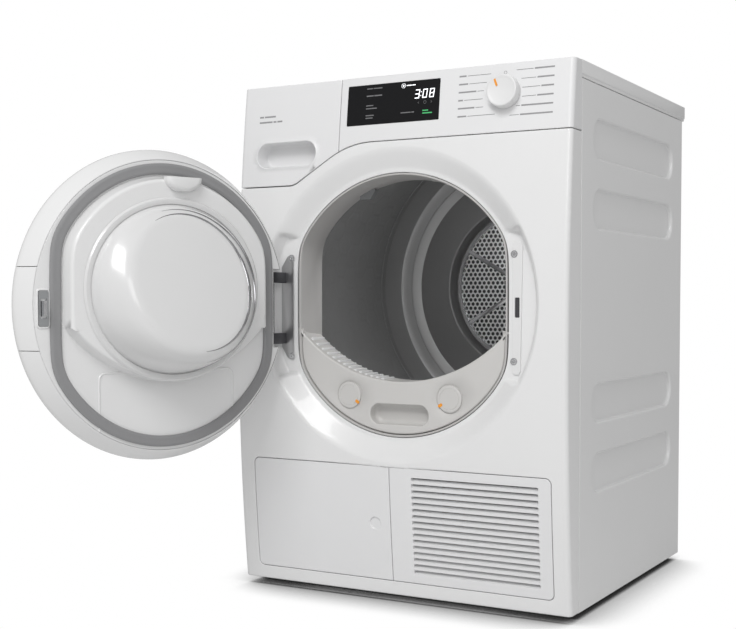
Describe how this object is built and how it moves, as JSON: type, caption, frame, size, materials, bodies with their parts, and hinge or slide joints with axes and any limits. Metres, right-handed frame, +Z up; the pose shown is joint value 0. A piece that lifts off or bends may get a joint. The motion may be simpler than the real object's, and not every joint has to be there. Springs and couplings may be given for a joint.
{
  "type": "clothes dryer",
  "caption": "Front-loading heat-pump clothes dryer with a round side-hinged door, honeycomb steel drum, control fascia, condensate drawer, lint filter and lower service flap.",
  "frame": {"origin": "on the floor plane z = 0, which the four feet touch, below the middle of the cabinet; the base tray's flat underside is 5 mm above it", "axes": "+X to the right of someone facing the dryer, +Y into the dryer towards its back, +Z up"},
  "size_m": [0.6703, 1.0555, 0.85],
  "materials": {
    "white_enamel": "smooth gloss enamel on sheet steel",
    "white_plastic": "glossy white moulding",
    "white_satin_plastic": "satin white moulding",
    "pale_plastic": "satin light grey moulding",
    "warm_grey_plastic": "fine-grained warm grey moulding",
    "seal_rubber": "matt grey rubber",
    "foot_rubber": "matt black rubber",
    "belt_rubber": "ribbed black rubber",
    "display_glass": "black gloss window",
    "dark_plastic": "fine-grained dark moulding",
    "drum_steel": "satin stainless steel",
    "bright_steel": "polished stainless steel",
    "galvanised_steel": "dull zinc-coated sheet",
    "black_enamel": "black enamel on steel",
    "motor_alloy": "dark coated alloy",
    "fin_aluminium": "rolled aluminium fins",
    "fin_copper": "fins on copper tube",
    "felt": "pressed wool felt",
    "filter_foam": "open-cell foam",
    "lamp_lens": "clear satin lens"
  },
  "bodies": {
    "cabinet": {"base_tray": "dark_plastic", "foot_front_left": "foot_rubber", "foot_front_right": "foot_rubber", "foot_rear_left": "foot_rubber", "foot_rear_right": "foot_rubber", "side_panel_left": "white_enamel", "side_panel_right": "white_enamel", "back_panel": "galvanised_steel", "rear_duct_cover": "galvanised_steel", "lid": "white_enamel", "front_panel": "white_enamel", "grille_panel": "white_plastic", "mains_inlet": "dark_plastic", "control_fascia": "white_plastic", "display_window": "display_glass", "control_board": "dark_plastic", "front_bulkhead": "pale_plastic", "drum_lamp_lens": "lamp_lens", "hinge_bracket": "bright_steel", "strike_plate": "white_plastic", "door_lock": "dark_plastic", "hinge_screw_lower": "bright_steel", "hinge_screw_upper": "bright_steel", "strike_screw_lower": "bright_steel", "strike_screw_upper": "bright_steel", "drum_front_seal": "felt", "rear_bulkhead": "galvanised_steel", "drum_bearing": "bright_steel", "motor": "motor_alloy", "drive_belt": "belt_rubber", "fan_housing": "dark_plastic", "compressor": "black_enamel", "evaporator": "fin_aluminium", "condenser": "fin_copper", "plinth_filter": "filter_foam"},
    "selector": {"selector_knob": "white_satin_plastic"},
    "condensate_drawer": {"drawer_front": "white_plastic", "condensate_container": "pale_plastic"},
    "service_flap": {"service_flap": "white_plastic"},
    "lint_filter": {"filter_front": "warm_grey_plastic", "filter_cassette": "pale_plastic"},
    "filter_lock_left": {"filter_lock_left": "warm_grey_plastic"},
    "filter_lock_right": {"filter_lock_right": "warm_grey_plastic"},
    "door": {"door_outer_shell": "white_plastic", "door_inner_panel": "white_satin_plastic", "door_bulge": "white_plastic", "door_seal": "seal_rubber", "hinge_arm": "bright_steel", "latch_housing": "pale_plastic"},
    "door_latch": {"latch_hook": "bright_steel"},
    "drum": {"drum_shell": "drum_steel", "drum_rear_wall": "drum_steel", "drum_air_grille": "bright_steel", "drum_lifter_1": "pale_plastic", "drum_lifter_2": "pale_plastic", "drum_lifter_3": "pale_plastic"},
    "motor_rotor": {"motor_pulley": "bright_steel", "fan_wheel": "dark_plastic"},
    "tensioner": {"tensioner_arm": "galvanised_steel"},
    "tensioner_roller": {"tensioner_roller": "dark_plastic"}
  },
  "joints": [
    {"name": "selector_turn", "type": "hinge", "parent": "cabinet", "child": "selector", "pos_m": [0.188, -0.26618, 0.8035], "axis": [0, -0.9936, 0.1131], "continuous": true},
    {"name": "drawer_slide", "type": "slide", "parent": "cabinet", "child": "condensate_drawer", "axis": [0, -1, 0], "range_m": [0, 0.09]},
    {"name": "flap_swing", "type": "hinge", "parent": "cabinet", "child": "service_flap", "pos_m": [-0.2662, -0.283, 0.1285], "axis": [0, 0, -1], "range_deg": [0, 110]},
    {"name": "filter_slide", "type": "slide", "parent": "cabinet", "child": "lint_filter", "axis": [0, -1, 0], "range_m": [0, 0.1]},
    {"name": "filter_lock_left_turn", "type": "hinge", "parent": "lint_filter", "child": "filter_lock_left", "pos_m": [-0.0915, -0.26, 0.333], "axis": [0, -1, 0], "range_deg": [0, 90]},
    {"name": "filter_lock_right_turn", "type": "hinge", "parent": "lint_filter", "child": "filter_lock_right", "pos_m": [0.0915, -0.26, 0.333], "axis": [0, 1, 0], "range_deg": [0, 90]},
    {"name": "door_swing", "type": "hinge", "parent": "cabinet", "child": "door", "pos_m": [-0.2193, -0.3031, 0.4755], "axis": [0, 0, -1], "range_deg": [-109.5, 10]},
    {"name": "latch_press", "type": "slide", "parent": "door", "child": "door_latch", "axis": [0.3338, 0.9426, 0], "range_m": [0, 0.0022], "stiffness_N_per_m": 1500, "springref_m": -0.002},
    {"name": "drum_spin", "type": "hinge", "parent": "cabinet", "child": "drum", "pos_m": [0, 0, 0.5145], "axis": [0, 1, 0], "continuous": true},
    {"name": "motor_spin", "type": "hinge", "parent": "cabinet", "child": "motor_rotor", "pos_m": [0.205, 0, 0.125], "axis": [0, 1, 0], "continuous": true},
    {"name": "tensioner_swing", "type": "hinge", "parent": "cabinet", "child": "tensioner", "pos_m": [0.108, -0.045, 0.09], "axis": [0, -1, 0], "range_deg": [0, 12], "stiffness_Nm_per_rad": 0.5, "springref_deg": -17.19},
    {"name": "roller_spin", "type": "hinge", "parent": "tensioner", "child": "tensioner_roller", "pos_m": [0.0705, -0.045, 0.148], "axis": [0, 1, 0], "continuous": true}
  ],
  "couplings": [
    {"joint": "motor_spin", "follows": "drum_spin", "ratio": 20.418},
    {"joint": "roller_spin", "follows": "drum_spin", "ratio": -18.05}
  ]
}
